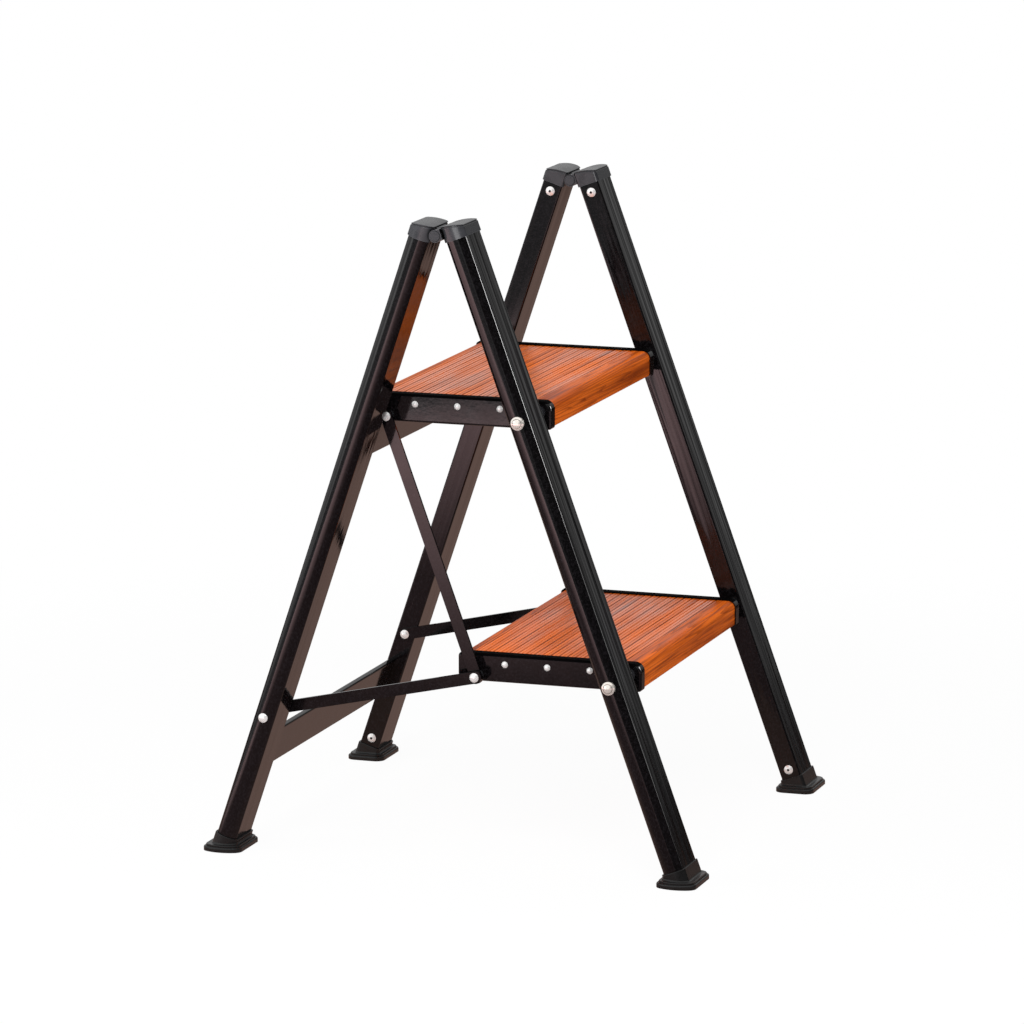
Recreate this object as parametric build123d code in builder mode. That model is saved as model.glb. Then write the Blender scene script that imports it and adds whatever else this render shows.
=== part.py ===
from build123d import *
import math
import os

# A two-tread folding step ladder, standing open.
# X runs across the ladder, -Y is the climbing side, +Z is up, and the floor is Z = 0.
# Every piece is drawn on the right-hand side (+X) and mirrored where the ladder has a pair.

# Stance
hinge_height = 660.0
front_lean = 20.0
rear_lean = 18.5

# Rails: D-shaped tube, flat on the inside and crowned on the outside
clear_width = 393.4
rail_flat = 44.8
rail_crown = 6.0
rail_depth = 22.0
rail_wall = 1.8
rail_corner = 1.6

# Top caps and the hinge between them
cap_wall = 1.5
cap_skirt = 10.0
cap_rise_hinge = 7.0
cap_rise_outer = 2.0
cap_arch = 1.4
cap_edge = 0.8
lid_thickness = 0.9
lid_inset = 0.2
lid_edge = 0.4
lid_groove = 0.8
lid_groove_depth = 0.9
plug_gap = 0.1
plug_below_rivet = 10.7
cap_rivet_below_skirt = 9.3
barrel_radius = 6.6
barrel_split = 13.0
barrel_gap = 0.4
barrel_web_inset = 1.0
hinge_pin_radius = 3.0
hinge_pin_head = 5.2
hinge_pin_head_height = 1.4
hinge_pin_edge = 0.45

# Feet
pad_end = 8.2
pad_side = 5.5
pad_height = 5.0
pad_corner = 10.0
pad_crown = 6.5
pad_edge = 1.8
step_inset = 2.2
step_height = 2.0
step_edge = 0.8
collar_wall = 2.0
collar_height = 17.0
collar_edge = 0.6
collar_flare = 2.0
rail_end_height = 10.0
foot_rivet_above_collar = 9.0
foot_plug_above_rivet = 20.0

# Treads: hollow ribbed planks
step_pitch = 285.5
tread_front = 12.0
tread_rear = 182.5
tread_above_pivot = 10.3
tread_thickness = 26.5
tread_nose = 8.0
tread_rear_top = 3.0
tread_rear_bottom = 6.0
tread_front_bottom = 1.5
tread_wall = 2.4
tread_web = 2.0
screw_port_wall = 2.0
rib_pitch = 9.0
rib_first = 21.2
rib_last = 11.0
groove_width = 2.2
groove_depth = 0.9
fine_groove_width = 1.1
fine_groove_depth = 0.45

# End brackets: drawn steel trays around the tread ends
bracket_wall = 1.5
bracket_clear = 17.7
bracket_flange = 13.0
bracket_bend = 2.6
bracket_rear_play = 1.4
tray_room = 3.5

# Pivots, link bars and struts
pivot_radius = 4.0
pivot_head_lip = 3.0
pivot_head_rim = 1.0
pivot_head_dome = 2.6
bush_wall = 3.5
nut_wall = 1.5
knee_from_rear = 20.5
knee_above_bottom = 5.4
strut_pivot_up = 154.0
bar_width = 12.5
bar_thickness = 3.0
bar_overhang = 7.5
bar_corner = 5.0
rivet_radius = 2.5
link_head = 4.9
link_head_height = 2.3
spacer_radius = 5.0
strut_rivet_radius = 3.0
strut_head = 5.0
strut_head_rim = 0.5
strut_head_height = 2.2

# Small rivets and screws
plug_rivet_radius = 2.4
plug_rivet_head = 5.0
plug_rivet_head_height = 1.8
plug_rivet_grip = 10.0
plug_rivet_core = 1.3
plug_rivet_core_depth = 1.0
screw_radius = 2.0
screw_head = 3.5
screw_head_height = 1.9
screw_length = 20.0
screw_down = 8.9
screw_first = 41.9
screw_last = 27.7
screw_count = 3

# Crossbars of the rear frame
crossbar_height = 42.0
crossbar_depth = 6.5
crossbar_setback = 1.5
crossbar_wall = 1.4
crossbar_corner = 1.8
lower_crossbar_up = 122.0
rest_gap = 0.3

# Clearances
seat_gap = 0.02
skirt_gap = 0.05
pivot_gap = 0.06
side_gap = 0.2
layer_gap = 0.3

# How far a cut runs past the face that it opens
cut_over = 1.0

# Sizes that follow from what they fit
rail_offset = rail_depth / 2 + barrel_radius + barrel_gap
cap_rivet_drop = cap_skirt + cap_rivet_below_skirt
plug_length = cap_rivet_drop + plug_below_rivet
pad_length = rail_depth + 2 * (collar_wall + pad_end)
pad_lip = collar_wall + pad_side
foot_rivet_up = collar_height + foot_rivet_above_collar
foot_plug_top = foot_rivet_up + foot_plug_above_rivet
pivot_head = pivot_radius + pivot_head_lip
bush_radius = pivot_radius + bush_wall
nut_across = 2 * (pivot_radius + nut_wall)
link_back = tread_rear - knee_from_rear
link_down = tread_thickness - tread_above_pivot - knee_above_bottom
screw_pitch = (link_back - screw_first - screw_last) / (screw_count - 1)
crossbar_middle = -rail_offset - crossbar_setback - crossbar_depth / 2

# Rail section: places across the ladder
rail_inner = clear_width / 2
crown_radius = (rail_depth**2 / 4 + rail_crown**2) / (2 * rail_crown)
rail_outer = rail_inner + rail_flat + rail_crown
crown_centre = rail_outer - crown_radius

# The hinge stands where the front and rear pads reach equally far from the origin
front_tilt = math.radians(front_lean)
rear_tilt = math.radians(rear_lean)
pad_rise = hinge_height - pad_height
front_reach = pad_rise * math.tan(front_tilt) + rail_offset / math.cos(front_tilt)
rear_reach = pad_rise * math.tan(rear_tilt) + rail_offset / math.cos(rear_tilt)
hinge_y = (front_reach - rear_reach) / 2
hinge_point = (hinge_y, hinge_height)

# Layers across the ladder, from the rail in to the end of the tread
strut_outer = rail_inner - layer_gap
strut_inner = strut_outer - bar_thickness
link_head_top = strut_inner - layer_gap
link_head_base = link_head_top - link_head_height
link_outer = link_head_base - side_gap
link_inner = link_outer - bar_thickness
spacer_outer = link_inner - side_gap
bracket_web = rail_inner - bracket_clear
web_inner = bracket_web - bracket_wall
tread_half = web_inner - tray_room
barrel_inner = rail_inner - cap_wall
barrel_outer = rail_outer + cap_wall - side_gap
front_barrels = [
    (barrel_inner, barrel_inner + barrel_split),
    (barrel_outer - barrel_split, barrel_outer),
]
rear_barrels = [
    (barrel_inner + barrel_split + barrel_gap, barrel_outer - barrel_split - barrel_gap),
]


def frame_plane(tilt):
    """Plane square to a rail at the hinge axis: local z runs down the rail, local y forwards."""
    return Plane(
        origin=(0, hinge_y, hinge_height),
        x_dir=(1, 0, 0),
        z_dir=(0, -math.sin(tilt), -math.cos(tilt)),
    )


def side_plane(plane):
    """The same frame seen along X: local x is forwards from the hinge, local y is down the rail."""
    return Plane(origin=plane.origin, x_dir=plane.y_dir, z_dir=(1, 0, 0))


front_plane = frame_plane(front_tilt)
rear_plane = frame_plane(-rear_tilt)


def rail_point(plane, centre, drop):
    """(Y, Z) of the point on a rail's centre line at a distance down the rail."""
    spot = plane.from_local_coords(Vector(0, centre, drop))
    return (spot.Y, spot.Z)


def floor_drop(tilt, height, centre):
    """Distance down a rail at which its centre line is at a height above the floor."""
    return (hinge_height - height + abs(centre) * math.sin(tilt)) / math.cos(tilt)


front_floor = floor_drop(front_tilt, 0, rail_offset)
rear_floor = floor_drop(rear_tilt, 0, rail_offset)
front_end = floor_drop(front_tilt, rail_end_height, rail_offset)
rear_end = floor_drop(rear_tilt, rail_end_height, rail_offset)

# The upper step sits where the frames stand a tread's depth apart:
# the rounded rear corner of its brackets is then over the middle of the upper crossbar
corner_back = tread_rear + bracket_rear_play - tread_rear_bottom
corner_down = tread_thickness - tread_above_pivot - tread_rear_bottom
corner_radius = tread_rear_bottom + seat_gap + bracket_wall
hinge_level = rail_point(front_plane, rail_offset, 0)
hinge_corner = Vector(0, hinge_level[0] + corner_back, hinge_level[1] - corner_down)
corner_short = crossbar_middle - rear_plane.to_local_coords(hinge_corner).Y
upper_pivot_drop = corner_short / math.sin(front_tilt + rear_tilt)
lower_pivot_drop = upper_pivot_drop + step_pitch
upper_pivot = rail_point(front_plane, rail_offset, upper_pivot_drop)
lower_pivot = rail_point(front_plane, rail_offset, lower_pivot_drop)
upper_knee = (upper_pivot[0] + link_back, upper_pivot[1] - link_down)
lower_knee = (lower_pivot[0] + link_back, lower_pivot[1] - link_down)
strut_pivot = rail_point(rear_plane, -rail_offset, rear_floor - strut_pivot_up)
front_cap_rivet = rail_point(front_plane, rail_offset, cap_rivet_drop)
rear_cap_rivet = rail_point(rear_plane, -rail_offset, cap_rivet_drop)
front_foot_rivet = rail_point(front_plane, rail_offset, front_floor - foot_rivet_up)
rear_foot_rivet = rail_point(rear_plane, -rail_offset, rear_floor - foot_rivet_up)

# The upper brackets rest on the upper crossbar at that corner
upper_corner = Vector(0, upper_pivot[0] + corner_back, upper_pivot[1] - corner_down)
corner_drop = rear_plane.to_local_coords(upper_corner).Z
upper_crossbar_drop = corner_drop + corner_radius + rest_gap
lower_crossbar_drop = rear_floor - lower_crossbar_up


def rail_section(centre, grow=0.0):
    """D outline of a rail, or of what fits over or into it, drawn grow outside the rail's face."""
    half = rail_depth / 2 + grow
    radius = crown_radius + grow
    inner = rail_inner - grow
    shoulder = crown_centre + math.sqrt(radius**2 - half**2)
    with BuildSketch() as section:
        with BuildLine():
            Polyline(
                (shoulder, centre - half),
                (inner, centre - half),
                (inner, centre + half),
                (shoulder, centre + half),
            )
            ThreePointArc(
                (shoulder, centre + half),
                (crown_centre + radius, centre),
                (shoulder, centre - half),
            )
        make_face()
        fillet(section.vertices(), max(rail_corner + grow, rail_corner / 2))
    return section.sketch


def rail_prism(plane, centre, start, end, grow):
    """Solid D bar along a rail, from start to end down the rail."""
    with BuildPart() as prism:
        with BuildSketch(plane.offset(start)):
            add(rail_section(centre, grow))
        extrude(amount=end - start)
    return prism.part


def rods(start, end, radius, points):
    """Round bars along X, from start to end, at each (Y, Z) point."""
    with BuildPart() as group:
        with BuildSketch(Plane.YZ.offset(start)):
            with Locations(*points):
                Circle(radius)
        extrude(amount=end - start)
    return group.part


def domes(rim, radius, rise, points):
    """Round caps on X: rise is how far each bulges from its rim, and is negative inwards."""
    ball = (radius**2 + rise**2) / (2 * rise)
    middle_turn = math.asin(radius / abs(ball)) / 2
    middle_x = rim + rise - ball + ball * math.cos(middle_turn)
    middle = (middle_x, abs(ball) * math.sin(middle_turn))
    with BuildPart() as dome:
        with BuildSketch():
            with BuildLine():
                Polyline((rim + rise, 0), (rim, 0), (rim, radius))
                ThreePointArc((rim, radius), middle, (rim + rise, 0))
            make_face()
        revolve(axis=Axis.X)
    with BuildPart() as group:
        for y, z in points:
            with Locations((0, y, z)):
                add(dome.part)
    return group.part


def write(piece, node):
    """Writes one finished piece under its node's name."""
    piece.label = node
    export_step(piece, f"parts/{node}.step")


def write_pair(piece, node):
    """Writes a right-hand piece and its mirror image as two nodes."""
    write(piece, f"{node}_right")
    write(mirror(piece, about=Plane.YZ), f"{node}_left")


def make_rail(plane, centre, end, through, through_radius, inner_only):
    """One rail tube with its through holes and the rivet holes of its inner wall."""
    with BuildPart() as rail:
        with BuildSketch(plane):
            add(rail_section(centre))
            add(rail_section(centre, -rail_wall), mode=Mode.SUBTRACT)
        extrude(amount=end)
        add(rods(0, rail_outer + cut_over, through_radius, through), mode=Mode.SUBTRACT)
        add(
            rods(0, rail_inner + rail_wall + cut_over, plug_rivet_radius + seat_gap, inner_only),
            mode=Mode.SUBTRACT,
        )
    return rail.part


def make_cap(plane, centre, barrels, other_barrels, bore, rivet):
    """Moulded cap over a rail's top, with its plug, its hinge barrels and room for the other's."""
    towards = math.copysign(1, centre)
    half = rail_depth / 2 + cap_wall
    hinge_side = centre - towards * half
    crown_rise = (cap_rise_hinge + cap_rise_outer) / 2 + cap_arch
    fall = cap_rise_hinge - cap_rise_outer
    # The arch is drawn over twice the cap's width, where a bow falls four times as far
    end_rise = crown_rise - 4 * cap_arch
    arch = [
        (centre - towards * 2 * half, -end_rise - fall),
        (centre, -crown_rise),
        (centre + towards * 2 * half, -end_rise + fall),
    ]
    web = barrel_radius - barrel_web_inset
    with BuildPart() as cap:
        add(arched_prism(plane, centre, arch, lid_thickness + lid_groove, cap_wall))
        shoulder = cap.faces().sort_by(Axis((0, 0, 0), plane.z_dir))[0]
        fillet(shoulder.edges(), cap_edge)
        add(arched_prism(plane, centre, arch, lid_thickness / 2, cap_wall - lid_groove_depth))
        add(make_lid(plane, centre, arch))
        add(rail_prism(plane, centre, 0, cap_skirt, skirt_gap), mode=Mode.SUBTRACT)
        add(rail_prism(plane, centre, 0, plug_length, -rail_wall - plug_gap))
        for start, end in other_barrels:
            add(
                rods(start - barrel_gap, end + barrel_gap, barrel_radius + barrel_gap, [hinge_point]),
                mode=Mode.SUBTRACT,
            )
        for start, end in barrels:
            add(rods(start, end, barrel_radius, [hinge_point]))
            with BuildSketch(side_plane(plane).offset(start)):
                with Locations((hinge_side / 2, 0)):
                    Rectangle(abs(hinge_side) + cap_wall, 2 * web)
            extrude(amount=end - start)
        add(rods(0, 2 * rail_outer, bore, [hinge_point]), mode=Mode.SUBTRACT)
        add(
            rods(0, rail_inner + plug_rivet_grip, plug_rivet_radius + seat_gap, [rivet]),
            mode=Mode.SUBTRACT,
        )
    return cap.part


def arched_prism(plane, centre, arch, drop, grow):
    """D bar over a rail's top, cut off at an arch that is lowered by drop."""
    roof = [(y, down + drop) for y, down in arch]
    with BuildPart() as prism:
        add(rail_prism(plane, centre, -2 * cap_rise_hinge, cap_skirt, grow))
        with BuildSketch(side_plane(plane)):
            with BuildLine():
                Polyline(
                    roof[-1],
                    (roof[-1][0], 2 * cap_skirt),
                    (roof[0][0], 2 * cap_skirt),
                    roof[0],
                )
                ThreePointArc(*roof)
            make_face()
        extrude(amount=2 * rail_outer, both=True, mode=Mode.INTERSECT)
    return prism.part


def make_lid(plane, centre, arch):
    """Thin arched lid on top of a cap, over the groove that parts it from the skirt."""
    with BuildPart() as lid:
        add(arched_prism(plane, centre, arch, 0, cap_wall - lid_inset))
        add(arched_prism(plane, centre, arch, lid_thickness, 2 * cap_wall), mode=Mode.SUBTRACT)
        top = lid.faces().sort_by(Axis((0, 0, 0), plane.z_dir))[0]
        chamfer(top.edges(), lid_edge)
    return lid.part


def pad_outline(centre, inset):
    """Foot pad seen from above: straight inner edge, bowed outer edge, rounded corners."""
    inner = rail_inner - pad_lip + inset
    corner = rail_inner + rail_flat + pad_lip - inset
    half = pad_length / 2 - inset
    with BuildSketch() as outline:
        with BuildLine():
            Polyline(
                (corner, centre - half),
                (inner, centre - half),
                (inner, centre + half),
                (corner, centre + half),
            )
            ThreePointArc(
                (corner, centre + half),
                (corner + pad_crown, centre),
                (corner, centre - half),
            )
        make_face()
        fillet(outline.vertices(), pad_corner - inset / 2)
    return outline.sketch


def make_foot(plane, centre, floor, end, pad_centre, rivet):
    """Rubber foot: pad and step on the floor, collar around the rail's end and plug inside it."""
    collar_top = floor - collar_height
    with BuildPart() as foot:
        with BuildSketch():
            add(pad_outline(pad_centre, 0))
        extrude(amount=pad_height)
        fillet(foot.faces().sort_by(Axis.Z)[-1].edges(), pad_edge)
        with BuildSketch(Plane.XY.offset(pad_height)):
            add(pad_outline(pad_centre, step_inset))
        extrude(amount=step_height)
        fillet(foot.faces().sort_by(Axis.Z)[-1].edges(), step_edge)
        add(make_collar(plane, centre, collar_top, floor))
        step_top = foot.faces().filter_by(Axis.Z).sort_by(Axis.Z)[-1]
        fillet(step_top.inner_wires()[0].edges(), collar_flare)
        add(rail_prism(plane, centre, collar_top, end, skirt_gap), mode=Mode.SUBTRACT)
        plug_start = floor - foot_plug_top
        add(rail_prism(plane, centre, plug_start, end, -rail_wall - plug_gap))
        add(
            rods(0, rail_inner + plug_rivet_grip, plug_rivet_radius + seat_gap, [rivet]),
            mode=Mode.SUBTRACT,
        )
    return foot.part


def make_collar(plane, centre, start, floor):
    """Sleeve of a foot, cut off level with the middle of its pad."""
    with BuildPart() as collar:
        add(rail_prism(plane, centre, start, floor + rail_depth, collar_wall))
        top = collar.faces().sort_by(Axis((0, 0, 0), plane.z_dir))[0]
        fillet(top.edges(), collar_edge)
        split(bisect_by=Plane.XY.offset(pad_height / 2), keep=Keep.TOP)
    return collar.part


def plug_rivets(point):
    """Pair of hollow-centred rivets that hold a plug through the inner walls of two rails."""
    head_back = rail_inner - plug_rivet_head_height
    with BuildPart() as rivets:
        add(rods(rail_inner, rail_inner + plug_rivet_grip, plug_rivet_radius, [point]))
        add(domes(rail_inner, plug_rivet_head, -plug_rivet_head_height, [point]))
        add(
            rods(head_back - cut_over, head_back + plug_rivet_core_depth, plug_rivet_core, [point]),
            mode=Mode.SUBTRACT,
        )
        mirror(about=Plane.YZ)
    return rivets.part


def saddle_heads(plane, centre, radius, rim, rise, point):
    """Domed head whose underside follows the crowned outer face of a rail."""
    with BuildPart() as heads:
        add(rods(crown_centre, rail_outer + rim, radius, [point]))
        add(domes(rail_outer + rim, radius, rise, [point]))
        add(rail_prism(plane, centre, 0, 2 * hinge_height, seat_gap), mode=Mode.SUBTRACT)
    return heads.part


def make_pivot_bolts(point):
    """Pair of dome-headed bolts through the front rails into the brackets."""
    with BuildPart() as bolts:
        add(saddle_heads(front_plane, rail_offset, pivot_head, pivot_head_rim, pivot_head_dome, point))
        add(rods(tread_half + layer_gap, rail_outer + pivot_head_rim, pivot_radius, [point]))
        mirror(about=Plane.YZ)
    return bolts.part


def make_bushes(points):
    """Round bushes between the brackets and the front rails."""
    with BuildPart() as bushes:
        add(rods(bracket_web + side_gap, rail_inner, bush_radius, points))
        add(rods(bracket_web, rail_inner, pivot_radius + seat_gap, points), mode=Mode.SUBTRACT)
        mirror(about=Plane.YZ)
    return bushes.part


def make_nuts(points):
    """Hexagon nuts inside the trays, on the ends of the pivot bolts."""
    start = tread_half + layer_gap
    with BuildPart() as nuts:
        with BuildSketch(Plane.YZ.offset(start)):
            with Locations(*points):
                RegularPolygon(nut_across / 2, 6, major_radius=False)
                Circle(pivot_radius + seat_gap, mode=Mode.SUBTRACT)
        extrude(amount=web_inner - side_gap - start)
        mirror(about=Plane.YZ)
    return nuts.part


def tread_outline(pivot, grow, play):
    """Side outline of a tread, or of the tray around it, drawn grow outside the tread's face."""
    front = pivot[0] - tread_front - grow
    rear = pivot[0] + tread_rear + grow + play
    top = pivot[1] + tread_above_pivot + grow
    bottom = top - tread_thickness - 2 * grow
    corners = [tread_front_bottom, tread_rear_bottom, tread_rear_top, tread_nose]
    with BuildSketch() as outline:
        with BuildLine():
            FilletPolyline(
                (front, bottom),
                (rear, bottom),
                (rear, top),
                (front, top),
                radius=[corner + grow for corner in corners],
                close=True,
            )
        make_face()
    return outline.sketch


def screw_points(pivot):
    """(Y, Z) of the screws that hold a bracket to a tread."""
    top = pivot[1] + tread_above_pivot
    return [
        (pivot[0] + screw_first + i * screw_pitch, top - screw_down) for i in range(screw_count)
    ]


def tread_cells(pivot):
    """Hollow of a tread, with a web and a screw port left standing at each screw."""
    top = pivot[1] + tread_above_pivot
    middle = top - tread_thickness / 2
    ports = screw_points(pivot)
    with BuildSketch() as cells:
        add(tread_outline(pivot, 0, 0))
        offset(amount=-tread_wall, kind=Kind.INTERSECTION, mode=Mode.REPLACE)
        with Locations(*[(y, middle) for y, z in ports]):
            Rectangle(tread_web, tread_thickness, mode=Mode.SUBTRACT)
        with Locations(*ports):
            Circle(screw_radius + screw_port_wall, mode=Mode.SUBTRACT)
    return cells.sketch


def make_tread(pivot):
    """Ribbed hollow plank: the grooves, cells and screw ports run through from end to end."""
    front = pivot[0] - tread_front
    rear = pivot[0] + tread_rear
    top = pivot[1] + tread_above_pivot
    grooves = int((rear - front - rib_first - rib_last) / rib_pitch) + 1
    main_places = [(front + rib_first + i * rib_pitch, top) for i in range(grooves)]
    fine_places = [(y + rib_pitch / 2, z) for y, z in main_places[:-1]]
    with BuildPart() as tread:
        with BuildSketch(Plane.YZ.offset(-tread_half)):
            add(tread_outline(pivot, 0, 0))
            add(tread_cells(pivot), mode=Mode.SUBTRACT)
            with Locations(*screw_points(pivot)):
                Circle(screw_radius + seat_gap, mode=Mode.SUBTRACT)
            with Locations(*main_places):
                Polygon(
                    (-groove_width / 2, 0),
                    (0, -groove_depth),
                    (groove_width / 2, 0),
                    align=None,
                    mode=Mode.SUBTRACT,
                )
            with Locations(*fine_places):
                Polygon(
                    (-fine_groove_width / 2, 0),
                    (0, -fine_groove_depth),
                    (fine_groove_width / 2, 0),
                    align=None,
                    mode=Mode.SUBTRACT,
                )
        extrude(amount=2 * tread_half)
    return tread.part


def make_bracket(pivot, knee):
    """Drawn tray around a tread's end, with its pivot, knee and screw holes."""
    flange_edge = bracket_web - bracket_flange
    with BuildPart() as bracket:
        with BuildSketch(Plane.YZ.offset(flange_edge)):
            add(tread_outline(pivot, seat_gap + bracket_wall, bracket_rear_play))
        extrude(amount=bracket_flange)
        fillet(bracket.faces().sort_by(Axis.X)[-1].edges(), bracket_bend)
        with BuildSketch(Plane.YZ.offset(flange_edge)):
            add(tread_outline(pivot, seat_gap, bracket_rear_play))
        extrude(amount=web_inner - flange_edge, mode=Mode.SUBTRACT)
        add(rods(web_inner, bracket_web, pivot_radius + pivot_gap, [pivot]), mode=Mode.SUBTRACT)
        add(rods(web_inner, bracket_web, rivet_radius + seat_gap, [knee]), mode=Mode.SUBTRACT)
        add(
            rods(web_inner, bracket_web, screw_radius + seat_gap, screw_points(pivot)),
            mode=Mode.SUBTRACT,
        )
    return bracket.part


def make_screws(pivot):
    """Dome-headed screws through both brackets into the ends of a tread."""
    points = screw_points(pivot)
    with BuildPart() as screws:
        add(rods(bracket_web - screw_length, bracket_web, screw_radius, points))
        add(domes(bracket_web, screw_head, screw_head_height, points))
        mirror(about=Plane.YZ)
    return screws.part


def make_link_rivets(knee):
    """Rivets that carry the link bars on a tread's brackets, upset inside the trays."""
    tail = web_inner - tread_half - layer_gap
    with BuildPart() as rivets:
        add(rods(web_inner - tail, web_inner, link_head, [knee]))
        add(rods(web_inner - tail, link_head_top, rivet_radius, [knee]))
        add(domes(link_head_base, link_head, link_head_height, [knee]))
        mirror(about=Plane.YZ)
    return rivets.part


def make_spacers(knee):
    """Collars that hold the link bars clear of the brackets."""
    with BuildPart() as spacers:
        add(rods(bracket_web, spacer_outer, spacer_radius, [knee]))
        add(rods(bracket_web, spacer_outer, rivet_radius + seat_gap, [knee]), mode=Mode.SUBTRACT)
        mirror(about=Plane.YZ)
    return spacers.part


def make_bar(inner, holes):
    """Flat bar between two (Y, Z, hole radius) points, its inner face at the given X."""
    (y0, z0, _), (y1, z1, _) = holes
    span = math.hypot(y1 - y0, z1 - z0)
    slope = math.degrees(math.atan2(z1 - z0, y1 - y0))
    with BuildPart() as bar:
        with BuildSketch(Plane.YZ.offset(inner)) as outline:
            with Locations(((y0 + y1) / 2, (z0 + z1) / 2)):
                Rectangle(span + 2 * bar_overhang, bar_width, rotation=slope)
            fillet(outline.vertices(), bar_corner)
            for y, z, radius in holes:
                with Locations((y, z)):
                    Circle(radius, mode=Mode.SUBTRACT)
        extrude(amount=bar_thickness)
    return bar.part


def make_strut_front_rivet():
    """Short rivet with an outer head in the front end of a strut."""
    with BuildPart() as rivet:
        add(rods(strut_inner, strut_outer, rivet_radius, [lower_knee]))
        add(domes(strut_outer, strut_head, strut_head_height, [lower_knee]))
    return rivet.part


def make_strut_rear_rivets():
    """Long rivets on which the struts turn, through both walls of the rear rails."""
    head_rim = strut_inner - layer_gap
    with BuildPart() as rivets:
        add(
            saddle_heads(
                rear_plane,
                -rail_offset,
                strut_head,
                strut_head_rim,
                strut_head_height,
                strut_pivot,
            )
        )
        add(rods(head_rim, rail_outer + strut_head_rim, strut_rivet_radius, [strut_pivot]))
        add(domes(head_rim, strut_head, -strut_head_height, [strut_pivot]))
        mirror(about=Plane.YZ)
    return rivets.part


def make_crossbar(drop):
    """Flat tube between the inner faces of the rear rails, its top edge at drop down the rail."""
    middle = drop + crossbar_height / 2
    inner_depth = crossbar_depth - 2 * crossbar_wall
    inner_height = crossbar_height - 2 * crossbar_wall
    with BuildPart() as bar:
        with BuildSketch(side_plane(rear_plane)):
            with Locations((crossbar_middle, middle)):
                RectangleRounded(crossbar_depth, crossbar_height, crossbar_corner)
                RectangleRounded(
                    inner_depth,
                    inner_height,
                    crossbar_corner - crossbar_wall,
                    mode=Mode.SUBTRACT,
                )
        extrude(amount=rail_inner, both=True)
    return bar.part


def make_hinge_pin():
    """Pin through the barrels of a front and a rear cap, headed at both ends."""
    with BuildPart() as pin:
        add(rods(barrel_inner, barrel_outer, hinge_pin_radius, [hinge_point]))
        add(rods(barrel_inner - hinge_pin_head_height, barrel_inner, hinge_pin_head, [hinge_point]))
        add(rods(barrel_outer, barrel_outer + hinge_pin_head_height, hinge_pin_head, [hinge_point]))
        ends = pin.faces().filter_by(Axis.X).sort_by(Axis.X)
        chamfer(ends[0].edges() + ends[-1].edges(), hinge_pin_edge)
    return pin.part


os.makedirs("parts", exist_ok=True)

# Front frame
write_pair(
    make_rail(
        front_plane,
        rail_offset,
        front_end,
        [upper_pivot, lower_pivot],
        pivot_radius + seat_gap,
        [front_cap_rivet, front_foot_rivet],
    ),
    "front_rail",
)
write_pair(
    make_cap(
        front_plane,
        rail_offset,
        front_barrels,
        rear_barrels,
        hinge_pin_radius + seat_gap,
        front_cap_rivet,
    ),
    "front_cap",
)
write_pair(make_hinge_pin(), "hinge_pin")
write_pair(
    make_foot(
        front_plane,
        rail_offset,
        front_floor,
        front_end,
        hinge_y - front_reach,
        front_foot_rivet,
    ),
    "front_foot",
)
write(make_pivot_bolts(upper_pivot), "upper_pivot_bolts")
write(make_pivot_bolts(lower_pivot), "lower_pivot_bolts")
write(make_bushes([upper_pivot, lower_pivot]), "pivot_bushes")
write(make_nuts([upper_pivot, lower_pivot]), "pivot_nuts")
write(plug_rivets(front_cap_rivet), "front_cap_rivets")
write(plug_rivets(front_foot_rivet), "front_foot_rivets")

# Rear frame
write_pair(
    make_rail(
        rear_plane,
        -rail_offset,
        rear_end,
        [strut_pivot],
        strut_rivet_radius + seat_gap,
        [rear_cap_rivet, rear_foot_rivet],
    ),
    "rear_rail",
)
write_pair(
    make_cap(
        rear_plane,
        -rail_offset,
        rear_barrels,
        front_barrels,
        hinge_pin_radius + pivot_gap,
        rear_cap_rivet,
    ),
    "rear_cap",
)
write_pair(
    make_foot(
        rear_plane,
        -rail_offset,
        rear_floor,
        rear_end,
        hinge_y + rear_reach,
        rear_foot_rivet,
    ),
    "rear_foot",
)
write(make_crossbar(upper_crossbar_drop), "upper_crossbar")
write(make_crossbar(lower_crossbar_drop), "lower_crossbar")
write(make_strut_rear_rivets(), "strut_rear_rivets")
write(plug_rivets(rear_cap_rivet), "rear_cap_rivets")
write(plug_rivets(rear_foot_rivet), "rear_foot_rivets")

# Treads with their brackets
for level, pivot, knee in (
    ("upper", upper_pivot, upper_knee),
    ("lower", lower_pivot, lower_knee),
):
    write(make_tread(pivot), f"{level}_tread")
    write_pair(make_bracket(pivot, knee), f"{level}_bracket")
    write(make_screws(pivot), f"{level}_tread_screws")
    write(make_link_rivets(knee), f"{level}_link_rivets")
    write(make_spacers(knee), f"{level}_link_spacers")

# Link bars and struts
link_hole = rivet_radius + pivot_gap
write_pair(
    make_bar(link_inner, [(*lower_knee, link_hole), (*upper_knee, link_hole)]),
    "link_bar",
)
write_pair(
    make_bar(
        strut_inner,
        [
            (*lower_knee, rivet_radius + seat_gap),
            (*strut_pivot, strut_rivet_radius + pivot_gap),
        ],
    ),
    "strut",
)
write_pair(make_strut_front_rivet(), "strut_front_rivet")
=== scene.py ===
import math

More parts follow.
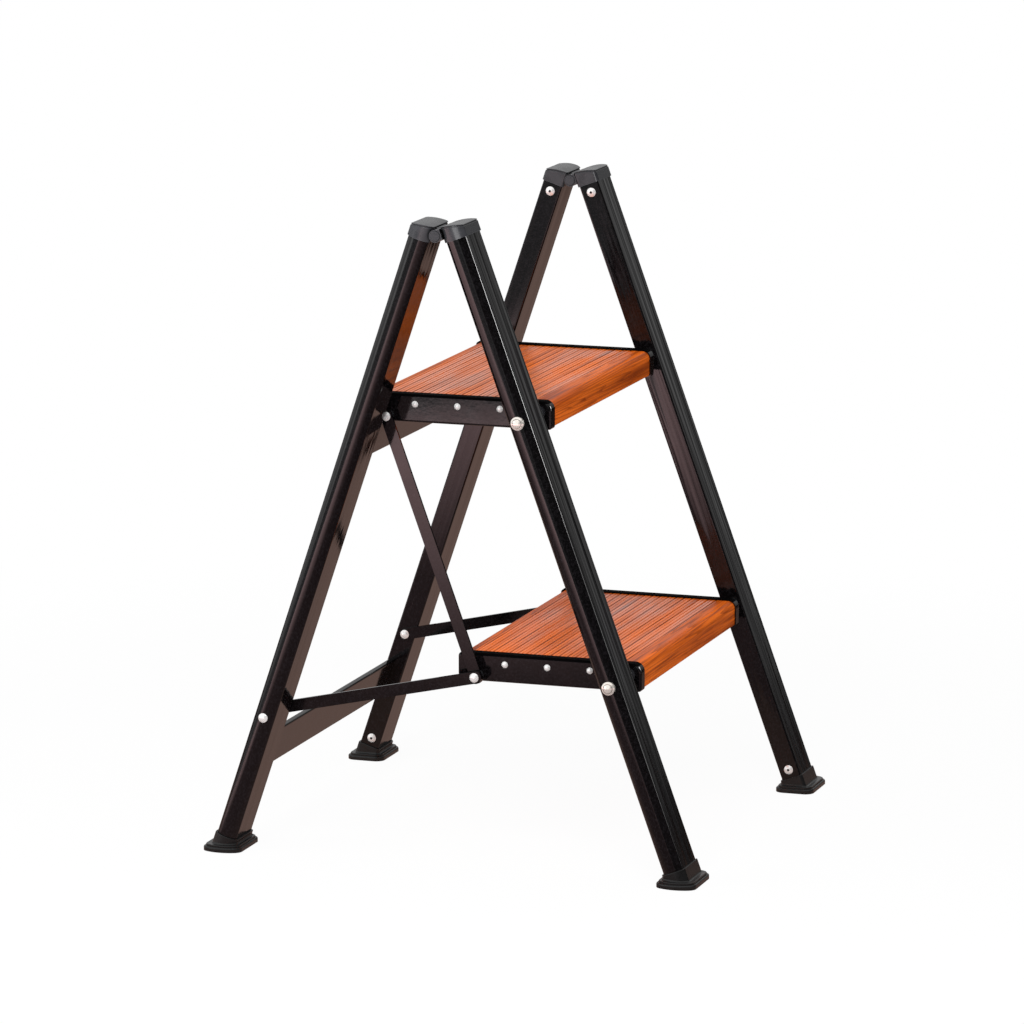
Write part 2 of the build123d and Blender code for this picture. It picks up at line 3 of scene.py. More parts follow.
import bpy
from bpy.props import FloatProperty, FloatVectorProperty, PointerProperty
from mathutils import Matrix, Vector


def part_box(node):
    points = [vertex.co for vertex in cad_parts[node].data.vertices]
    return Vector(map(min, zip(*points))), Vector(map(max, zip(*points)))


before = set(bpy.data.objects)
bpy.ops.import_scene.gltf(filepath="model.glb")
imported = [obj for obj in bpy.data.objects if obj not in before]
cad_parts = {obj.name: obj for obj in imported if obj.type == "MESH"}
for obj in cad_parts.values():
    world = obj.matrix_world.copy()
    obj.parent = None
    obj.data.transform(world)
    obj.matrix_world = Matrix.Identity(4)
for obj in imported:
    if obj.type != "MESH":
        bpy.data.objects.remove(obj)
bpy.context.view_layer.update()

bl_info = {
    "name": "Folding Step Ladder",
    "version": (1, 0, 0),
    "blender": (4, 5, 0),
    "location": "View3D > Sidebar > Step Ladder",
    "description": "Finishes and studio for a two-tread folding step ladder",
    "category": "Object",
}

# Words and pieces that node names are put together from
SIDES = ("left", "right")
LEVELS = ("upper", "lower")
FRAMES = ("front", "rear")
CAP_PIECES = ("front_cap", "rear_cap", "hinge_pin")
NEAR_STEEL = ("front_rail_left", "upper_bracket_left", "lower_bracket_left")

# Lean of each frame's rails, and depth of the drawing lines in their paint
LEANS = {"front": math.radians(20.0), "rear": math.radians(-18.5)}
LINE_RELIEF = {"front": 0.0012, "rear": 0.0003}

# Black paint: its gloss, the brown of its clouds and the level of its specks, as shares of its colour
PAINT_IOR = 1.45
CROSSBAR_IOR = 1.40
CLOUD_SHARES = (1.7, 1.35, 1.3)
SPECK_SHARE = 5.5

# Matt strip along the brackets' top edge
MATT = {"Roughness": 0.6, "IOR": 1.05}
MATT_BAND = 0.0028
MATT_FADE = 0.0005

# Mouldings: gloss, width of the painted highlight along their edges, and reach and colour of the painted
# shade in their crevices
MOULDING_IOR = 1.45
HIGHLIGHT_WIDTH = 0.0008
SHADE_REACH = 0.006
CREVICE_SHADE = (0.002, 0.002, 0.002)

# Fasteners: colour of the painted shade in rivet holes and bolt rings, radius of a rivet's drilled hole,
# inside and outside its edge, and of a bolt head's ring, and how much of that shade the ring takes
HOLE_SHADE = (0.012, 0.011, 0.011)
HOLE_EDGE = (0.0011, 0.0017)
TURNED_RING = 0.0048
RING_EDGE = (0.0001, 0.0005)
RING_SHADE_LEVEL = 0.75

# Treads: gloss, rings in the figure, lacquer left at each tread's left end and on its plain margins
WOOD = {"IOR": 1.12, "Coat IOR": 1.5, "Coat Roughness": 0.28}
RINGS = 21
LACQUER_LEFT = {"upper": 1.0, "lower": 0.45}
MARGIN_LACQUER = 0.15

# Treads: how much painted light pales the ribs to the left per metre, how deep the top's skin is and how
# the margins fade
PAINTED_LIGHT_LEFTWARD = 1.7
SKIN_DEPTH = (0.0016, 0.0011)
MARGIN_FADE = (0.0015, 0.002)

# Where most of a noise lies, its middle part, and the ends of a mask that falls
NOISE_SPAN = (0.3, 0.7)
NOISE_MIDDLE = (0.35, 0.65)
FALLING = (1.0, 0.0)

# Floor: side and depth below the feet, and the colours that the camera, the lamps and the gloss see
FLOOR_SIDE = 80.0
FLOOR_DEPTH = 0.0005
FLOOR_SEEN = (1.0, 1.0, 1.0)
FLOOR_MATTE = (0.9, 0.9, 0.9)
FLOOR_PINK = (1.0, 0.66, 0.67)
FLOOR_RIM = (0.95, 0.97, 1.0)
FLOOR_BROWN = (0.40, 0.26, 0.218)

# Studio in the gloss: angles in degrees over which its dark low front ends, and how dark that is
DARK_BELOW = 24.0
LIGHT_ABOVE = 42.0
FRONT_DARKNESS = 0.94

# Bright patches of the studio in the gloss: direction, inner and outer half angle in degrees, level
PATCHES = (
    ((-0.64, 0.76, -0.03), 6.0, 22.0, 1.4),
    ((0.93, 0.31, 0.20), 12.0, 30.0, 0.35),
)

# Lamps: the point that the large ones aim at, and the sizes of softboxes, cards and the caps' light
MIDDLE = (0.0, 0.0, 0.33)
SOFTBOX = (2.0, 2.0)
CARD = (0.8, 0.45)
CAP_CARD = (0.9, 0.5)

# Camera: width of the frame in millimetres, and how far it sees in metres
SENSOR = 36.0
SIGHT = 100.0


def rgba(colour, share=1.0):
    """A share of a colour, with full alpha."""
    return (*(share * channel for channel in colour), 1.0)


class Value:
    """A socket in a node tree. Arithmetic on it adds Math nodes."""

    def __init__(self, nodes, socket):
        self.nodes = nodes
        self.socket = socket

    def math(self, operation, *values):
        return self.nodes.node("ShaderNodeMath", {"operation": operation}, dict(enumerate(values)))

    def __add__(self, other):
        return self.math("ADD", self, other)

    def __radd__(self, other):
        return self.math("ADD", other, self)

    def __sub__(self, other):
        return self.math("SUBTRACT", self, other)

    def __rsub__(self, other):
        return self.math("SUBTRACT", other, self)

    def __mul__(self, other):
        return self.math("MULTIPLY", self, other)

    def __rmul__(self, other):
        return self.math("MULTIPLY", other, self)

    def __truediv__(self, other):
        return self.math("DIVIDE", self, other)

    def __rtruediv__(self, other):
        return self.math("DIVIDE", other, self)

    def __abs__(self):
        return self.math("ABSOLUTE", self)

    def floor(self):
        return self.math("FLOOR", self)

    def fraction(self):
        return self.math("FRACT", self)

    def larger(self, other):
        return self.math("MAXIMUM", self, other)


class NodeSet:
    """A node tree, emptied, with one method that adds any node."""

    def __init__(self, holder):
        holder.use_nodes = True
        self.tree = holder.node_tree
        self.tree.nodes.clear()

    def node(self, kind, settings=None, inputs=None, out=0):
        """Adds a node, sets it up, fills or links its sockets, and returns one output."""
        node = self.tree.nodes.new(kind)
        for key, value in (settings or {}).items():
            setattr(node, key, value)
        for key, value in (inputs or {}).items():
            if isinstance(value, Value):
                self.tree.links.new(value.socket, node.inputs[key])
            else:
                node.inputs[key].default_value = value
        return Value(self, node.outputs[out]) if node.outputs else node

    def between(self, value, source, target=(0.0, 1.0), smooth=False):
        """Value spread from one range to another, and held at its ends."""
        kind = "SMOOTHSTEP" if smooth else "LINEAR"
        ends = {"From Min": source[0], "From Max": source[1], "To Min": target[0], "To Max": target[1]}
        return self.node("ShaderNodeMapRange", {"interpolation_type": kind}, {"Value": value, **ends})

    def mix(self, factor, first, second):
        """Colour between two colours, by the numbers of the Mix node's colour sockets."""
        return self.node("ShaderNodeMix", {"data_type": "RGBA"}, {0: factor, 6: first, 7: second}, out=2)

    def vector(self, operation, first, second, out=0):
        """Vector Math on two vectors."""
        return self.node("ShaderNodeVectorMath", {"operation": operation}, {0: first, 1: second}, out)

    def scaled(self, colour, level):
        """Colour times a level."""
        sockets = {0: colour, "Scale": level}
        return self.node("ShaderNodeVectorMath", {"operation": "SCALE"}, sockets)

    def split(self, vector):
        """X, Y and Z of a vector."""
        return [self.node("ShaderNodeSeparateXYZ", {}, {0: vector}, out=axis) for axis in range(3)]

    def spot(self):
        """Object coordinates."""
        return self.node("ShaderNodeTexCoord", out="Object")

    def rays(self):
        """Masks of the rays that come from the camera and from the gloss."""
        return [self.node("ShaderNodeLightPath", out=f"Is {kind} Ray") for kind in ("Camera", "Glossy")]


class Finish(NodeSet):
    """One material: a Principled shader and the nodes that feed it."""

    def __init__(self, name, sockets):
        self.material = bpy.data.materials.new(name)
        super().__init__(self.material)
        self.shader = self.node("ShaderNodeBsdfPrincipled", {}, sockets)
        self.output = self.node("ShaderNodeOutputMaterial", {}, {0: self.shader})

    def feed(self, socket, value):
        """Links a varying value to a socket of the shader."""
        self.tree.links.new(value.socket, self.shader.socket.node.inputs[socket])

    def cover(self, mask, sockets):
        """Covers the part that a mask picks with a second shader."""
        second = self.node("ShaderNodeBsdfPrincipled", {}, sockets)
        mixed = self.node("ShaderNodeMixShader", {}, {0: mask, 1: self.shader, 2: second})
        self.tree.links.new(mixed.socket, self.output.inputs[0])

    def drawn(self, stretch, turn=0.0):
        """Object coordinates, turned about X and shortened, so that a pattern on them is drawn out."""
        turned = self.node("ShaderNodeMapping", {}, {"Vector": self.spot(), "Rotation": (turn, 0.0, 0.0)})
        return self.vector("MULTIPLY", turned, stretch)

    def noise(self, place, scale, detail=3.0, rough=0.5):
        """Fractal noise."""
        sockets = {"Vector": place, "Scale": scale, "Detail": detail, "Roughness": rough}
        return self.node("ShaderNodeTexNoise", {}, sockets)

    def grain(self, stretch, scale, detail=2.0, rough=0.5):
        """Fractal noise that is drawn out along X."""
        return self.noise(self.drawn((stretch, 1.0, 1.0)), scale, detail, rough)

    def bump(self, height, strength, distance):
        """Feeds the shader's normal from a height."""
        relief = {"Height": height, "Strength": strength, "Distance": distance}
        self.feed("Normal", self.node("ShaderNodeBump", {}, relief))


class StepLadderFinishes(bpy.types.PropertyGroup):
    """Colours of the ladder's surfaces."""

    paint: FloatVectorProperty(
        name="Paint", description="Gloss black paint", subtype="COLOR",
        default=(0.0014, 0.0012, 0.0014),
    )
    moulding: FloatVectorProperty(
        name="Moulding", description="Charcoal plastic", subtype="COLOR",
        default=(0.028, 0.0285, 0.032),
    )
    rubber: FloatVectorProperty(
        name="Rubber", description="Black feet", subtype="COLOR",
        default=(0.0085, 0.0085, 0.0088),
    )
    nickel: FloatVectorProperty(
        name="Nickel", description="Bright fasteners", subtype="COLOR",
        default=(0.93, 0.92, 0.91),
    )
    bolt: FloatVectorProperty(
        name="Bolt heads", description="Warm polished nickel", subtype="COLOR",
        default=(0.96, 0.90, 0.83),
    )
    wood_light: FloatVectorProperty(
        name="Light wood", description="Pale streaks", subtype="COLOR",
        default=(0.98, 0.195, 0.014),
    )
    wood_mid: FloatVectorProperty(
        name="Wood", description="Body of the grain", subtype="COLOR",
        default=(0.50, 0.078, 0.005),
    )
    wood_dark: FloatVectorProperty(
        name="Dark wood", description="Dark streaks", subtype="COLOR",
        default=(0.150, 0.020, 0.003),
    )


class StepLadderRibs(bpy.types.PropertyGroup):
    """Grooves of the treads."""

    pitch: FloatProperty(
        name="Pitch", description="From groove to groove", unit="LENGTH", default=0.009
    )
    first: FloatProperty(
        name="First groove", description="From the tread's front edge", unit="LENGTH", default=0.0212
    )
    last: FloatProperty(
        name="Rear margin", description="Plain strip at the rear edge", unit="LENGTH", default=0.011
    )
    width: FloatProperty(name="Width", description="Groove width", unit="LENGTH", default=0.0022)


class StepLadderStage(bpy.types.PropertyGroup):
    """Camera and studio."""

    azimuth: FloatProperty(
        name="Azimuth", description="Camera's turn round the ladder", subtype="ANGLE",
        default=math.radians(-71.4946),
    )
    elevation: FloatProperty(
        name="Elevation", description="Camera's height angle", subtype="ANGLE",
        default=math.radians(10.8387),
    )
    distance: FloatProperty(
        name="Distance", description="Camera to aim point", unit="LENGTH", default=6.4207
    )
    aim: FloatVectorProperty(
        name="Aim", description="Point the camera looks at", subtype="TRANSLATION",
        default=(0.0, 0.01065, 0.33052),
    )
    lens: FloatProperty(
        name="Lens", description="Focal length in millimetres on a 36 mm frame", default=212.65
    )
    ambient: FloatProperty(
        name="Ambient", description="Soft light from all round", default=0.5
    )


def give(node, finish):
    """Puts a finish on a CAD node."""
    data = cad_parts[node].data
    data.materials.clear()
    data.materials.append(finish.material)


def feed_paint(finish, colour, cloud):
    """Black paint, clouded with brown and finely speckled."""
    brown = [channel * share for channel, share in zip(colour, CLOUD_SHARES)]
    clouded = finish.mix(finish.between(cloud, NOISE_MIDDLE), rgba(colour), rgba(brown))
    specks = finish.noise(finish.spot(), scale=420.0, detail=2.0, rough=0.6)
    speckled = finish.between(specks, (0.45, 0.70), (0.0, 0.8))
    finish.feed("Base Color", finish.mix(speckled, clouded, rgba(colour, SPECK_SHARE)))


def paint_finish(name, colour, turn, relief):
    """Gloss black paint with long drawing lines along the tube."""
    finish = Finish(name, {"IOR": PAINT_IOR})
    lines = finish.noise(finish.drawn((1.0, 1.0, 0.03), turn), scale=75.0, detail=2.0)
    broad = finish.noise(finish.drawn((1.0, 1.0, 0.06), turn), scale=60.0)
    feed_paint(finish, colour, broad)
    finish.feed("Roughness", finish.between(broad, NOISE_SPAN, (0.05, 0.13)))
    finish.bump(lines, strength=0.8, distance=relief)
    return finish


def steel_finish(name, colour, ior=PAINT_IOR, matt_above=None):
    """Gloss black paint on flat steel, with a soft orange peel, rubbed matt above a height."""
    finish = Finish(name, {"IOR": ior})
    peel = finish.noise(finish.spot(), scale=260.0)
    cloud = finish.noise(finish.spot(), scale=35.0)
    feed_paint(finish, colour, cloud)
    finish.feed("Roughness", finish.between(cloud, NOISE_SPAN, (0.05, 0.12)))
    finish.bump(peel, strength=0.05, distance=0.0003)
    if matt_above is not None:
        _, _, height = finish.split(finish.spot())
        highlight_or_matt_mask = finish.between(height, (matt_above, matt_above + MATT_FADE))
        finish.cover(highlight_or_matt_mask, {"Base Color": rgba(colour), **MATT})
    return finish


def moulding_finish(name, colour, rough):
    """Moulded plastic or rubber: spark-eroded texture, painted shade in crevices from ambient occlusion,
    and a painted highlight that pales the edges.
    """
    finish = Finish(name, {"IOR": MOULDING_IOR})
    texture = finish.noise(finish.spot(), scale=2200.0, detail=2.0, rough=0.6)
    cloud = finish.noise(finish.spot(), scale=70.0)
    dark = rgba(colour, 0.75)
    painted_highlight = rgba(colour, 3.0)
    # Edges found by the bevel normal get a painted highlight, three times the plastic's colour
    rounded = finish.node("ShaderNodeBevel", {"samples": 8}, {"Radius": HIGHLIGHT_WIDTH})
    flat = finish.node("ShaderNodeNewGeometry", out="Normal")
    turned = finish.vector("DOT_PRODUCT", rounded, flat, out="Value")
    highlight_or_matt_mask = finish.between(turned, (0.80, 0.97), (0.6, 0.0))
    reach = {"Distance": SHADE_REACH}
    # Ambient occlusion paints shade into crevices and gaps between parts, down to the shade colour
    open_to_air = finish.node("ShaderNodeAmbientOcclusion", {"samples": 16}, reach, out="AO")
    clouded = finish.mix(finish.between(cloud, NOISE_MIDDLE), dark, rgba(colour))
    with_painted_highlight = finish.mix(highlight_or_matt_mask, clouded, painted_highlight)
    clear = finish.between(open_to_air, (0.35, 0.85))
    finish.feed("Base Color", finish.mix(clear, rgba(CREVICE_SHADE), with_painted_highlight))
    finish.feed("Roughness", finish.between(cloud, NOISE_SPAN, (rough - 0.05, rough + 0.05)))
    finish.bump(texture, strength=0.12, distance=0.0001)
    return finish


def nickel_finish(name, colour, rough, metallic):
    """Bright plated metal with fine polishing haze."""
    finish = Finish(name, {"Base Color": rgba(colour), "Metallic": metallic})
    haze = finish.noise(finish.spot(), scale=900.0, detail=4.0, rough=0.6)
    finish.feed("Roughness", finish.between(haze, NOISE_SPAN, (0.7 * rough, 1.4 * rough)))
    return finish


def from_axis(finish, node):
    """Distance from the line along X through the middle of a node."""
    low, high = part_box(node)
    axis = (low + high) / 2
    flat = finish.vector("MULTIPLY", finish.spot(), (0.0, 1.0, 1.0))
    return finish.vector("DISTANCE", flat, (0.0, axis.y, axis.z), out="Value")


def rivet_finish(name, node, colour):
    """Satin plating, with the drilled hole that a blind rivet has in its head painted dark as painted
    shade.
    """
    finish = nickel_finish(name, colour, rough=0.30, metallic=0.55)
    # The hole is painted shade: a dark disc in the base colour
    hole = finish.between(from_axis(finish, node), HOLE_EDGE, FALLING)
    finish.feed("Base Color", finish.mix(hole, rgba(colour), rgba(HOLE_SHADE)))
    return finish


def bolt_finish(name, node, colour):
    """Polished plating, with the fine ring that turning leaves on a bolt's head, sunk by bump and
    darkened with painted shade.
    """
    finish = nickel_finish(name, colour, rough=0.10, metallic=0.70)
    off = abs(from_axis(finish, node) - TURNED_RING)
    ring = finish.between(off, RING_EDGE, FALLING, smooth=True)
    # The ring's groove gets painted shade, part of the way to the hole's shade colour
    finish.feed("Base Color", finish.mix(ring * RING_SHADE_LEVEL, rgba(colour), rgba(HOLE_SHADE)))
    finish.bump(1 - ring, strength=0.5, distance=0.0004)
    return finish


def wood_finish(name, node, colours, ribs, lacquer_left):
    """Printed wood grain along X on a ribbed plank, lacquered on top, with painted light on the ribbed
    top and painted shade in its grooves.
    """
    finish = Finish(name, WOOD)
    light, mid, dark = (rgba(colour) for colour in colours)
    low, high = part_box(node)
    across, depth, height = finish.split(finish.spot())

    # Growth rings are contour lines of a drawn-out noise, sharp on one side, under streaks and pores
    figure = finish.grain(0.022, scale=46.0, rough=0.4)
    ring = (figure * RINGS).fraction()
    pores = finish.grain(0.02, scale=520.0, detail=4.0, rough=0.6)
    patch = finish.grain(0.2, scale=26.0)
    streaks = finish.grain(0.015, scale=210.0, detail=3.0, rough=0.6)
    body = finish.mix(finish.between(patch, (0.33, 0.63), (0.05, 0.85)), mid, light)
    ringed = finish.mix(finish.between(ring, (0.0, 0.5), (0.48, 0.0), smooth=True), body, dark)
    streaked = finish.mix(finish.between(streaks, (0.46, 0.66), (0.0, 0.6)), ringed, dark)
    grained = finish.mix(finish.between(pores, (0.50, 0.70), (0.0, 0.62)), streaked, dark)

    # The ribbed part of the top lies between plain front and rear margins
    front = low.y + ribs.first
    rear = high.y - ribs.last
    start, end = MARGIN_FADE
    on_top = finish.between(height, [high.z - skin for skin in SKIN_DEPTH])
    ribbed = (
        on_top
        * finish.between(depth, (front - end, front - start))
        * finish.between(depth, (rear + start, rear + end), FALLING)
    )

    # There, each half rib has its own tone, and painted light pales the whole ribbed top, and more so to
    # the left
    place = (depth - front) / ribs.pitch
    half = (place * 2).floor()
    tone = finish.node("ShaderNodeTexWhiteNoise", {"noise_dimensions": "1D"}, {"W": half})
    # Painted light: no rib falls below 0.28 of the light colour, so the top reads brighter than the
    # front, and the left end paler
    rib_tone_and_painted_light = finish.between(tone, (0.0, 1.0), (0.28, 1.0)) - across * PAINTED_LIGHT_LEFTWARD
    top_with_painted_light = finish.mix(ribbed * rib_tone_and_painted_light, grained, light)

    # Painted shade, uneven along the ribs, darkens the grooves that part them, and a fine line halves
    # each rib
    from_groove = abs((place + 0.5).fraction() - 0.5) * ribs.pitch
    from_line = abs(place.fraction() - 0.5) * ribs.pitch
    uneven_shade = finish.between(finish.grain(0.12, scale=95.0), (0.36, 0.62), (0.3, 0.9))
    groove = finish.between(from_groove, (0.2 * ribs.width, 0.6 * ribs.width), FALLING) * uneven_shade
    line = finish.between(from_line, (0.1 * ribs.width, 0.34 * ribs.width), (0.35, 0.0))
    # Painted shade in the grooves, or the fine line where it is darker, mixes in the dark wood colour
    finish.feed("Base Color", finish.mix(ribbed * groove.larger(line), top_with_painted_light, dark))

    # The lacquer is worn in patches and towards the left end
    wear = finish.between(finish.grain(0.2, scale=33.0), (0.38, 0.62), (0.30, 1.0))
    worn = wear * finish.between(across, (-0.15, 0.05), (lacquer_left, 1.0))
    finish.feed("Coat Weight", on_top * (ribbed * (worn - MARGIN_LACQUER) + MARGIN_LACQUER))
    finish.feed("Roughness", finish.between(patch, NOISE_MIDDLE, (0.30, 0.48)))
    finish.bump(pores, strength=0.12, distance=0.0003)
    return finish


class LadderOperator(bpy.types.Operator):
    """Shared settings of the ladder's operators."""

    bl_options = {"REGISTER", "UNDO"}


class STEPLADDER_OT_rails(LadderOperator):
    """Finish the four rails"""

    bl_idname = "step_ladder.rails"
    bl_label = "Rails"

    def execute(self, context):
        colour = context.scene.step_ladder_finishes.paint
        for end in FRAMES:
            finish = paint_finish(f"{end}_rail_paint", colour, LEANS[end], LINE_RELIEF[end])
            for side in SIDES:
                give(f"{end}_rail_{side}", finish)
        return {"FINISHED"}


class STEPLADDER_OT_caps(LadderOperator):
    """Finish the top caps, hinge pins, bushes and spacers"""

    bl_idname = "step_ladder.caps"
    bl_label = "Caps"

    def execute(self, context):
        colour = context.scene.step_ladder_finishes.moulding
        finish = moulding_finish("cap_moulding", colour, rough=0.27)
        for side in SIDES:
            for piece in CAP_PIECES:
                give(f"{piece}_{side}", finish)
        for node in ("pivot_bushes", "upper_link_spacers", "lower_link_spacers"):
            give(node, finish)
        return {"FINISHED"}


class STEPLADDER_OT_feet(LadderOperator):
    """Finish the rubber feet"""

    bl_idname = "step_ladder.feet"
    bl_label = "Feet"

    def execute(self, context):
        colour = context.scene.step_ladder_finishes.rubber
        finish = moulding_finish("foot_rubber", colour, rough=0.3)
        for end in FRAMES:
            for side in SIDES:
                give(f"{end}_foot_{side}", finish)
        return {"FINISHED"}


class STEPLADDER_OT_treads(LadderOperator):
    """Finish the treads"""

    bl_idname = "step_ladder.treads"
    bl_label = "Treads"

    def execute(self, context):
        colours = context.scene.step_ladder_finishes
        ribs = context.scene.step_ladder_ribs
        wood = (colours.wood_light, colours.wood_mid, colours.wood_dark)
        for level in LEVELS:
            tread = f"{level}_tread"
            give(tread, wood_finish(f"{level}_wood_grain", tread, wood, ribs, LACQUER_LEFT[level]))
        return {"FINISHED"}


class STEPLADDER_OT_steelwork(LadderOperator):
    """Finish the brackets, link bars, struts and crossbars"""

    bl_idname = "step_ladder.steelwork"
    bl_label = "Steelwork"

    def execute(self, context):
        colour = context.scene.step_ladder_finishes.paint
        bar = steel_finish("steel_paint", colour)
        crossbar = steel_finish("crossbar_paint", colour, ior=CROSSBAR_IOR)
        for side in SIDES:
            give(f"link_bar_{side}", bar)
            give(f"strut_{side}", bar)
        for level in LEVELS:
            give(f"{level}_crossbar", crossbar)
            _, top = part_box(f"{level}_bracket_left")
            bracket = steel_finish(f"{level}_bracket_paint", colour, matt_above=top.z - MATT_BAND)
            for side in SIDES:
                give(f"{level}_bracket_{side}", bracket)
        return {"FINISHED"}


class STEPLADDER_OT_fasteners(LadderOperator):
    """Finish the bolts, nuts, rivets and screws"""

    bl_idname = "step_ladder.fasteners"
    bl_label = "Fasteners"

    def execute(self, context):
        colours = context.scene.step_ladder_finishes
        satin = nickel_finish("satin_nickel", colours.nickel, rough=0.22, metallic=0.50)
        for level in LEVELS:
            bolts = f"{level}_pivot_bolts"
            give(bolts, bolt_finish(f"{level}_bolt_nickel", bolts, colours.bolt))
            give(f"{level}_tread_screws", satin)
            give(f"{level}_link_rivets", satin)
        for end in FRAMES:
            for place in ("cap", "foot"):
                rivets = f"{end}_{place}_rivets"
                give(rivets, rivet_finish(f"{end}_{place}_nickel", rivets, colours.nickel))
        for side in SIDES:
            give(f"strut_front_rivet_{side}", satin)
        give("strut_rear_rivets", satin)
        give("pivot_nuts", satin)
        return {"FINISHED"}


def soft_light(name, place, aim, size, power, shows=("diffuse",), nodes=()):
    """Softbox aimed at a point, for the diffuse light, the gloss or both, of all or of some nodes."""
    lamp = bpy.data.lights.new(name, "AREA")
    lamp.shape = "RECTANGLE"
    lamp.size, lamp.size_y = size
    lamp.energy = power
    holder = bpy.data.objects.new(name, lamp)
    holder.location = place
    holder.rotation_mode = "QUATERNION"
    holder.rotation_quaternion = (Vector(aim) - Vector(place)).to_track_quat("-Z", "Y")
    holder.visible_diffuse = "diffuse" in shows
    holder.visible_glossy = "gloss" in shows
    bpy.context.scene.collection.objects.link(holder)
    if nodes:
        holder.light_linking.receiver_collection = bpy.data.collections.new(name)
        for node in nodes:
            holder.light_linking.receiver_collection.objects.link(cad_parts[node])


def make_floor():
    """Pale floor: white to the camera with a soft shadow, warm and darker in the gloss."""
    bpy.ops.mesh.primitive_plane_add(size=FLOOR_SIDE, location=(0.0, 0.0, -FLOOR_DEPTH))
    floor = bpy.context.object
    floor.name = "studio_floor"
    material = bpy.data.materials.new("studio_floor")
    material.cycles.emission_sampling = "NONE"
    nodes = NodeSet(material)
    camera, glossy = nodes.rays()
    spot = nodes.spot()
    across, back, _ = nodes.split(spot)
    away = nodes.node("ShaderNodeVectorMath", {"operation": "LENGTH"}, {0: spot}, out="Value")

    # On the left the gloss sees pink that brightens with distance, up to a pale rim
    rising = nodes.between(away, (1.0, 2.5), (0.3, 3.3))
    ending = nodes.between(away, (2.72, 3.0), (1.0, 0.09), smooth=True)
    behind = nodes.between(back, (-0.6, 0.3), (0.35, 1.0), smooth=True)
    tint = nodes.mix(nodes.between(away, (2.7, 2.95)), rgba(FLOOR_PINK), rgba(FLOOR_RIM))
    pink = nodes.scaled(tint, rising * ending * behind)

    # Elsewhere it sees brown, darker far off and in front
    far_dark = nodes.between(away, (2.2, 3.5), (1.0, 0.15), smooth=True)
    front_dark = nodes.between(back, (-0.6, -0.25), (0.12, 1.0), smooth=True)
    brown = nodes.scaled(FLOOR_BROWN, far_dark * front_dark)
    warm = nodes.mix(nodes.between(across, (-0.35, -0.15), smooth=True), pink, brown)

    # The camera sees white, mixed near the ladder with a matte floor that takes the shadow
    seen = nodes.mix(camera, warm, rgba(FLOOR_SEEN))
    glow = nodes.node("ShaderNodeEmission", {}, {"Color": seen})
    matte = nodes.node("ShaderNodeBsdfDiffuse", {}, {"Color": rgba(FLOOR_MATTE)})
    share = camera * nodes.between(away, (0.7, 1.5), (0.95, 1.0), smooth=True) + glossy
    surface = nodes.node("ShaderNodeMixShader", {}, {0: share, 1: matte, 2: glow})
    nodes.node("ShaderNodeOutputMaterial", {}, {0: surface})
    floor.data.materials.append(material)


def make_world(ambient):
    """White surroundings for the camera, a studio for the gloss and soft light for the rest."""
    world = bpy.data.worlds.new("studio")
    bpy.context.scene.world = world
    world.cycles.sampling_method = "NONE"
    nodes = NodeSet(world)
    camera, glossy = nodes.rays()
    direction = nodes.node("ShaderNodeTexCoord", out="Generated")
    across, back, rise = nodes.split(direction)
    heights = [math.sin(math.radians(angle)) for angle in (DARK_BELOW, LIGHT_ABOVE)]
    low = nodes.between(rise, heights, FALLING, smooth=True)
    front = nodes.between(back + across * 0.08, (-0.42, -0.12), FALLING, smooth=True)
    bright = nodes.between(across, (0.0, 0.6), (0.95, 0.45), smooth=True)
    studio = bright * (1 - low * front * FRONT_DARKNESS)
    for centre, inner, outer, level in PATCHES:
        edge = [math.cos(math.radians(angle)) for angle in (outer, inner)]
        facing = nodes.vector("DOT_PRODUCT", direction, Vector(centre).normalized(), out="Value")
        studio = studio + nodes.between(facing, edge, (0.0, level), smooth=True)
    strength = camera + glossy * studio + (1 - camera - glossy) * ambient
    sky = nodes.node("ShaderNodeBackground", {}, {"Strength": strength})
    nodes.node("ShaderNodeOutputWorld", {}, {0: sky})


def make_camera(stage):
    """Camera at the photograph's viewing angle."""
    data = bpy.data.cameras.new("photo_view")
    data.sensor_width = SENSOR
    data.lens = stage.lens
    data.clip_end = SIGHT
    camera = bpy.data.objects.new("photo_view", data)
    level = math.cos(stage.elevation)
    back = Vector((
        math.sin(stage.azimuth) * level,
        -math.cos(stage.azimuth) * level,
        math.sin(stage.elevation),
    ))
    camera.location = Vector(stage.aim) + back * stage.distance
    camera.rotation_mode = "QUATERNION"
    camera.rotation_quaternion = (-back).to_track_quat("-Z", "Y")
    bpy.context.scene.collection.objects.link(camera)
    bpy.context.scene.camera = camera


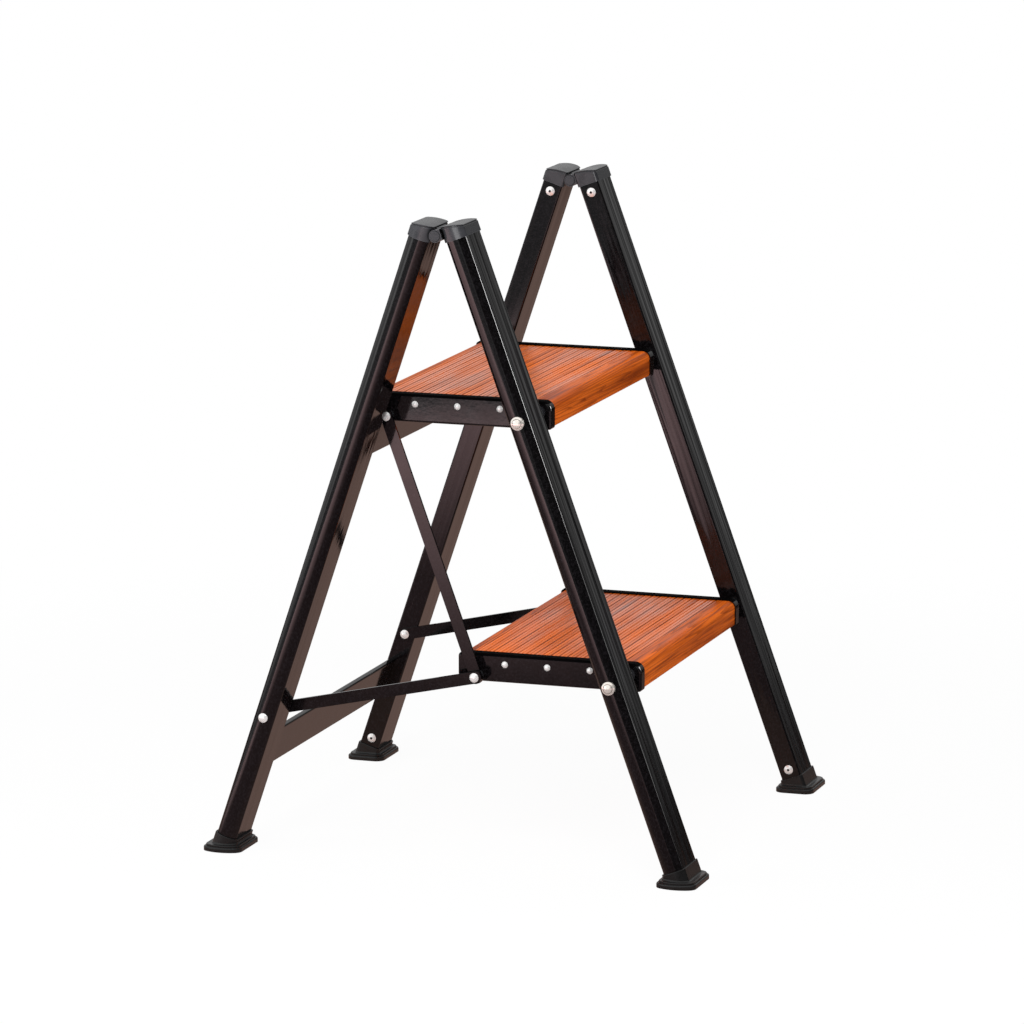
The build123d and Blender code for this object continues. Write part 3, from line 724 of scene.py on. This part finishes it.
class STEPLADDER_OT_stage(LadderOperator):
    """Build the floor, lights and camera"""

    bl_idname = "step_ladder.stage"
    bl_label = "Studio"

    def execute(self, context):
        stage = context.scene.step_ladder_stage
        make_floor()
        make_world(stage.ambient)
        make_camera(stage)
        caps = [f"{piece}_{side}" for piece in CAP_PIECES for side in SIDES]
        soft_light("key_light", (-2.4, -0.4, 2.4), MIDDLE, SOFTBOX, power=100.0)
        soft_light("fill_light", (-2.0, 2.8, 2.6), MIDDLE, SOFTBOX, power=38.0)
        soft_light(
            "upper_card", (0.33, -1.12, 0.90), (-0.24, -0.05, 0.60), CARD, power=24.0,
            shows=("gloss",), nodes=NEAR_STEEL,
        )
        soft_light(
            "lower_card", (0.33, -1.21, 0.50), (-0.24, -0.14, 0.20), CARD, power=4.0,
            shows=("gloss",), nodes=NEAR_STEEL,
        )
        soft_light(
            "cap_light", (-1.36, -0.39, 0.71), (0.0, 0.0, 0.66), CAP_CARD, power=7.0,
            shows=("diffuse", "gloss"), nodes=caps,
        )
        context.scene.view_settings.view_transform = "Standard"
        return {"FINISHED"}


class STEPLADDER_PT_panel(bpy.types.Panel):
    """The ladder's pieces, in the sidebar"""

    bl_idname = "STEPLADDER_PT_panel"
    bl_label = "Step Ladder"
    bl_space_type = "VIEW_3D"
    bl_region_type = "UI"
    bl_category = "Step Ladder"

    def draw(self, context):
        scene = context.scene
        for group in (scene.step_ladder_finishes, scene.step_ladder_ribs, scene.step_ladder_stage):
            for name in group.__annotations__:
                self.layout.prop(group, name)
        for operator in OPERATORS:
            self.layout.operator(operator.bl_idname)


OPERATORS = (
    STEPLADDER_OT_rails,
    STEPLADDER_OT_caps,
    STEPLADDER_OT_feet,
    STEPLADDER_OT_treads,
    STEPLADDER_OT_steelwork,
    STEPLADDER_OT_fasteners,
    STEPLADDER_OT_stage,
)
CLASSES = (StepLadderFinishes, StepLadderRibs, StepLadderStage, *OPERATORS, STEPLADDER_PT_panel)


def register():
    for cls in CLASSES:
        bpy.utils.register_class(cls)
    bpy.types.Scene.step_ladder_finishes = PointerProperty(type=StepLadderFinishes)
    bpy.types.Scene.step_ladder_ribs = PointerProperty(type=StepLadderRibs)
    bpy.types.Scene.step_ladder_stage = PointerProperty(type=StepLadderStage)


def unregister():
    del bpy.types.Scene.step_ladder_stage
    del bpy.types.Scene.step_ladder_ribs
    del bpy.types.Scene.step_ladder_finishes
    for cls in reversed(CLASSES):
        bpy.utils.unregister_class(cls)


def main():
    register()
    bpy.ops.step_ladder.rails()
    bpy.ops.step_ladder.caps()
    bpy.ops.step_ladder.feet()
    bpy.ops.step_ladder.treads()
    bpy.ops.step_ladder.steelwork()
    bpy.ops.step_ladder.fasteners()
    bpy.ops.step_ladder.stage()


if __name__ == "__main__":
    main()
